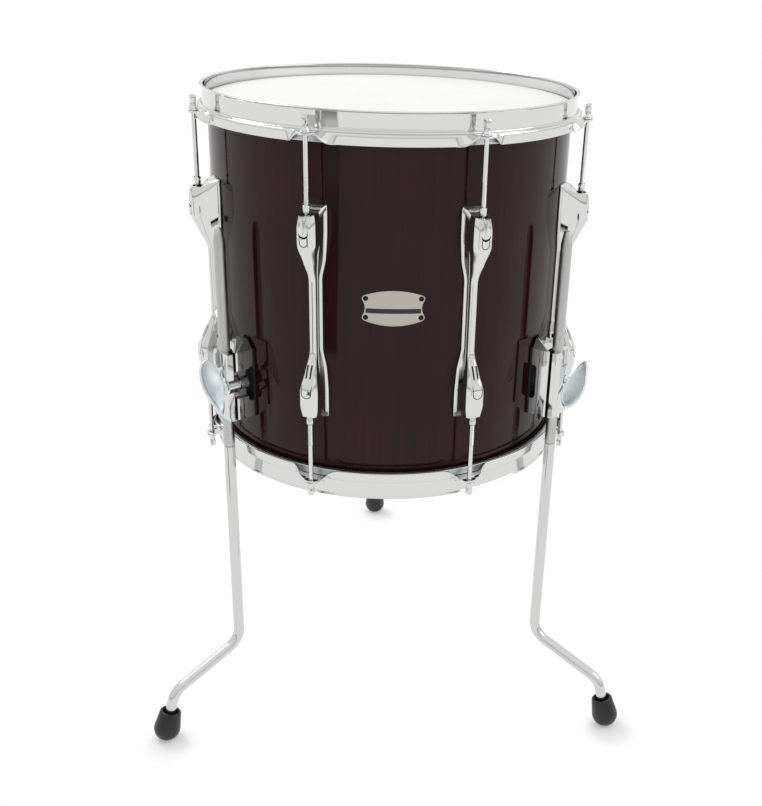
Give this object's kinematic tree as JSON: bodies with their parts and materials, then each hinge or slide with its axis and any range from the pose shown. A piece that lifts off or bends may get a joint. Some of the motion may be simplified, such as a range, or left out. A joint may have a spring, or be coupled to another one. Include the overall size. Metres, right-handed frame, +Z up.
{
  "type": "floor tom",
  "caption": "Floor tom: a cylindrical wooden drum with a head at each end, rod-tensioned steel hoops, long lugs and bent legs clamped in brackets with wing bolts.",
  "frame": {"origin": "on the floor, under the middle of the drum's bounding box", "axes": "+Z up along the drum's axis, -Y from the drum's axis towards the badge, which stands midway between two lugs, +X to the right of someone who faces the badge"},
  "size_m": [0.557, 0.5674, 0.73],
  "materials": {
    "lacquered_wood": "high-gloss dark walnut lacquer",
    "badge_plate": "brushed pale metal plate",
    "vent_rubber": "matt",
    "head_film": "coated white film",
    "flesh_ring_metal": "satin",
    "hoop_chrome": "polished",
    "lug_chrome": "polished",
    "rod_chrome": "polished",
    "bracket_chrome": "polished",
    "gasket_rubber": "matt",
    "wing_chrome": "polished",
    "leg_chrome": "polished, knurled upper length",
    "foot_rubber": "satin black"
  },
  "bodies": {
    "drum": {"shell": "lacquered_wood", "badge": "badge_plate", "vent_grommet": "vent_rubber", "lug_1": "lug_chrome", "lug_2": "lug_chrome", "lug_3": "lug_chrome", "lug_4": "lug_chrome", "lug_5": "lug_chrome", "lug_6": "lug_chrome", "lug_7": "lug_chrome", "lug_8": "lug_chrome", "left_bracket": "bracket_chrome", "left_bracket_gasket": "gasket_rubber", "right_bracket": "bracket_chrome", "right_bracket_gasket": "gasket_rubber", "rear_bracket": "bracket_chrome", "rear_bracket_gasket": "gasket_rubber"},
    "batter_side": {"top_hoop": "hoop_chrome", "batter_flesh_ring": "flesh_ring_metal", "batter_head": "head_film"},
    "resonant_side": {"bottom_hoop": "hoop_chrome", "resonant_flesh_ring": "flesh_ring_metal", "resonant_head": "head_film"},
    "top_rod_1": {"top_rod_1": "rod_chrome"},
    "top_rod_2": {"top_rod_2": "rod_chrome"},
    "top_rod_3": {"top_rod_3": "rod_chrome"},
    "top_rod_4": {"top_rod_4": "rod_chrome"},
    "top_rod_5": {"top_rod_5": "rod_chrome"},
    "top_rod_6": {"top_rod_6": "rod_chrome"},
    "top_rod_7": {"top_rod_7": "rod_chrome"},
    "top_rod_8": {"top_rod_8": "rod_chrome"},
    "bottom_rod_1": {"bottom_rod_1": "rod_chrome"},
    "bottom_rod_2": {"bottom_rod_2": "rod_chrome"},
    "bottom_rod_3": {"bottom_rod_3": "rod_chrome"},
    "bottom_rod_4": {"bottom_rod_4": "rod_chrome"},
    "bottom_rod_5": {"bottom_rod_5": "rod_chrome"},
    "bottom_rod_6": {"bottom_rod_6": "rod_chrome"},
    "bottom_rod_7": {"bottom_rod_7": "rod_chrome"},
    "bottom_rod_8": {"bottom_rod_8": "rod_chrome"},
    "left_clamp_jaw": {"left_clamp_jaw": "bracket_chrome"},
    "left_wing_bolt": {"left_wing_bolt": "wing_chrome"},
    "left_leg_upper": {"left_leg_upper": "leg_chrome"},
    "left_leg_lower": {"left_leg_lower": "leg_chrome", "left_rubber_foot": "foot_rubber"},
    "right_clamp_jaw": {"right_clamp_jaw": "bracket_chrome"},
    "right_wing_bolt": {"right_wing_bolt": "wing_chrome"},
    "right_leg_upper": {"right_leg_upper": "leg_chrome"},
    "right_leg_lower": {"right_leg_lower": "leg_chrome", "right_rubber_foot": "foot_rubber"},
    "rear_clamp_jaw": {"rear_clamp_jaw": "bracket_chrome"},
    "rear_wing_bolt": {"rear_wing_bolt": "wing_chrome"},
    "rear_leg_upper": {"rear_leg_upper": "leg_chrome"},
    "rear_leg_lower": {"rear_leg_lower": "leg_chrome", "rear_rubber_foot": "foot_rubber"}
  },
  "joints": [
    {"name": "batter_side_lift", "type": "slide", "parent": "drum", "child": "batter_side", "axis": [0, 0, 1], "range_m": [0, 0.02328]},
    {"name": "top_rod_1_spin", "type": "hinge", "parent": "batter_side", "child": "top_rod_1", "pos_m": [-0.08954, 0.14272, 0.62], "axis": [0, 0, 1], "range_deg": [0, 7920]},
    {"name": "top_rod_2_spin", "type": "hinge", "parent": "batter_side", "child": "top_rod_2", "pos_m": [-0.20991, 0.02236, 0.62], "axis": [0, 0, 1], "range_deg": [0, 7920]},
    {"name": "top_rod_3_spin", "type": "hinge", "parent": "batter_side", "child": "top_rod_3", "pos_m": [-0.20991, -0.14785, 0.62], "axis": [0, 0, 1], "range_deg": [0, 7920]},
    {"name": "top_rod_4_spin", "type": "hinge", "parent": "batter_side", "child": "top_rod_4", "pos_m": [-0.08954, -0.26822, 0.62], "axis": [0, 0, 1], "range_deg": [0, 7920]},
    {"name": "top_rod_5_spin", "type": "hinge", "parent": "batter_side", "child": "top_rod_5", "pos_m": [0.08067, -0.26822, 0.62], "axis": [0, 0, 1], "range_deg": [0, 7920]},
    {"name": "top_rod_6_spin", "type": "hinge", "parent": "batter_side", "child": "top_rod_6", "pos_m": [0.20104, -0.14785, 0.62], "axis": [0, 0, 1], "range_deg": [0, 7920]},
    {"name": "top_rod_7_spin", "type": "hinge", "parent": "batter_side", "child": "top_rod_7", "pos_m": [0.20104, 0.02236, 0.62], "axis": [0, 0, 1], "range_deg": [0, 7920]},
    {"name": "top_rod_8_spin", "type": "hinge", "parent": "batter_side", "child": "top_rod_8", "pos_m": [0.08067, 0.14272, 0.62], "axis": [0, 0, 1], "range_deg": [0, 7920]},
    {"name": "resonant_side_drop", "type": "slide", "parent": "drum", "child": "resonant_side", "axis": [0, 0, -1], "range_m": [0, 0.02328]},
    {"name": "bottom_rod_1_spin", "type": "hinge", "parent": "resonant_side", "child": "bottom_rod_1", "pos_m": [-0.08954, 0.14272, 0.43], "axis": [0, 0, -1], "range_deg": [0, 7920]},
    {"name": "bottom_rod_2_spin", "type": "hinge", "parent": "resonant_side", "child": "bottom_rod_2", "pos_m": [-0.20991, 0.02236, 0.43], "axis": [0, 0, -1], "range_deg": [0, 7920]},
    {"name": "bottom_rod_3_spin", "type": "hinge", "parent": "resonant_side", "child": "bottom_rod_3", "pos_m": [-0.20991, -0.14785, 0.43], "axis": [0, 0, -1], "range_deg": [0, 7920]},
    {"name": "bottom_rod_4_spin", "type": "hinge", "parent": "resonant_side", "child": "bottom_rod_4", "pos_m": [-0.08954, -0.26822, 0.43], "axis": [0, 0, -1], "range_deg": [0, 7920]},
    {"name": "bottom_rod_5_spin", "type": "hinge", "parent": "resonant_side", "child": "bottom_rod_5", "pos_m": [0.08067, -0.26822, 0.43], "axis": [0, 0, -1], "range_deg": [0, 7920]},
    {"name": "bottom_rod_6_spin", "type": "hinge", "parent": "resonant_side", "child": "bottom_rod_6", "pos_m": [0.20104, -0.14785, 0.43], "axis": [0, 0, -1], "range_deg": [0, 7920]},
    {"name": "bottom_rod_7_spin", "type": "hinge", "parent": "resonant_side", "child": "bottom_rod_7", "pos_m": [0.20104, 0.02236, 0.43], "axis": [0, 0, -1], "range_deg": [0, 7920]},
    {"name": "bottom_rod_8_spin", "type": "hinge", "parent": "resonant_side", "child": "bottom_rod_8", "pos_m": [0.08067, 0.14272, 0.43], "axis": [0, 0, -1], "range_deg": [0, 7920]},
    {"name": "left_jaw_open", "type": "slide", "parent": "drum", "child": "left_clamp_jaw", "axis": [-0.7826, -0.6225, 0], "range_m": [0, 0.00249]},
    {"name": "left_wing_turn", "type": "hinge", "parent": "left_clamp_jaw", "child": "left_wing_bolt", "pos_m": [-0.1869, -0.2213, 0.431], "axis": [-0.7826, -0.6225, 0], "range_deg": [0, 900]},
    {"name": "left_leg_height", "type": "slide", "parent": "drum", "child": "left_leg_upper", "axis": [0, 0, 1], "range_m": [-0.1, 0.03]},
    {"name": "left_leg_swivel", "type": "hinge", "parent": "left_leg_upper", "child": "left_leg_lower", "pos_m": [-0.18287, -0.20468, 0.355], "axis": [0, 0, 1], "range_deg": [-180, 180]},
    {"name": "right_jaw_open", "type": "slide", "parent": "drum", "child": "right_clamp_jaw", "axis": [0.809, -0.5878, 0], "range_m": [0, 0.00249]},
    {"name": "right_wing_turn", "type": "hinge", "parent": "right_clamp_jaw", "child": "right_wing_bolt", "pos_m": [0.19711, -0.1962, 0.431], "axis": [0.809, -0.5878, 0], "range_deg": [0, 900]},
    {"name": "right_leg_height", "type": "slide", "parent": "drum", "child": "right_leg_upper", "axis": [0, 0, 1], "range_m": [-0.1, 0.03]},
    {"name": "right_leg_swivel", "type": "hinge", "parent": "right_leg_upper", "child": "right_leg_lower", "pos_m": [0.18002, -0.19676, 0.355], "axis": [0, 0, 1], "range_deg": [-180, 180]},
    {"name": "rear_jaw_open", "type": "slide", "parent": "drum", "child": "rear_clamp_jaw", "axis": [-0.0218, 0.9998, 0], "range_m": [0, 0.00249]},
    {"name": "rear_wing_turn", "type": "hinge", "parent": "rear_clamp_jaw", "child": "rear_wing_bolt", "pos_m": [-0.0202, 0.17847, 0.431], "axis": [-0.0218, 0.9998, 0], "range_deg": [0, 900]},
    {"name": "rear_leg_height", "type": "slide", "parent": "drum", "child": "rear_leg_upper", "axis": [0, 0, 1], "range_m": [-0.1, 0.03]},
    {"name": "rear_leg_swivel", "type": "hinge", "parent": "rear_leg_upper", "child": "rear_leg_lower", "pos_m": [-0.00941, 0.1652, 0.355], "axis": [0, 0, 1], "range_deg": [-180, 180]}
  ],
  "couplings": [
    {"joint": "top_rod_1_spin", "follows": "batter_side_lift", "rad_per_m": 5936.9},
    {"joint": "top_rod_2_spin", "follows": "batter_side_lift", "rad_per_m": 5936.9},
    {"joint": "top_rod_3_spin", "follows": "batter_side_lift", "rad_per_m": 5936.9},
    {"joint": "top_rod_4_spin", "follows": "batter_side_lift", "rad_per_m": 5936.9},
    {"joint": "top_rod_5_spin", "follows": "batter_side_lift", "rad_per_m": 5936.9},
    {"joint": "top_rod_6_spin", "follows": "batter_side_lift", "rad_per_m": 5936.9},
    {"joint": "top_rod_7_spin", "follows": "batter_side_lift", "rad_per_m": 5936.9},
    {"joint": "top_rod_8_spin", "follows": "batter_side_lift", "rad_per_m": 5936.9},
    {"joint": "bottom_rod_1_spin", "follows": "resonant_side_drop", "rad_per_m": 5936.9},
    {"joint": "bottom_rod_2_spin", "follows": "resonant_side_drop", "rad_per_m": 5936.9},
    {"joint": "bottom_rod_3_spin", "follows": "resonant_side_drop", "rad_per_m": 5936.9},
    {"joint": "bottom_rod_4_spin", "follows": "resonant_side_drop", "rad_per_m": 5936.9},
    {"joint": "bottom_rod_5_spin", "follows": "resonant_side_drop", "rad_per_m": 5936.9},
    {"joint": "bottom_rod_6_spin", "follows": "resonant_side_drop", "rad_per_m": 5936.9},
    {"joint": "bottom_rod_7_spin", "follows": "resonant_side_drop", "rad_per_m": 5936.9},
    {"joint": "bottom_rod_8_spin", "follows": "resonant_side_drop", "rad_per_m": 5936.9},
    {"joint": "left_wing_turn", "follows": "left_jaw_open", "rad_per_m": 6283.2},
    {"joint": "right_wing_turn", "follows": "right_jaw_open", "rad_per_m": 6283.2},
    {"joint": "rear_wing_turn", "follows": "rear_jaw_open", "rad_per_m": 6283.2}
  ]
}
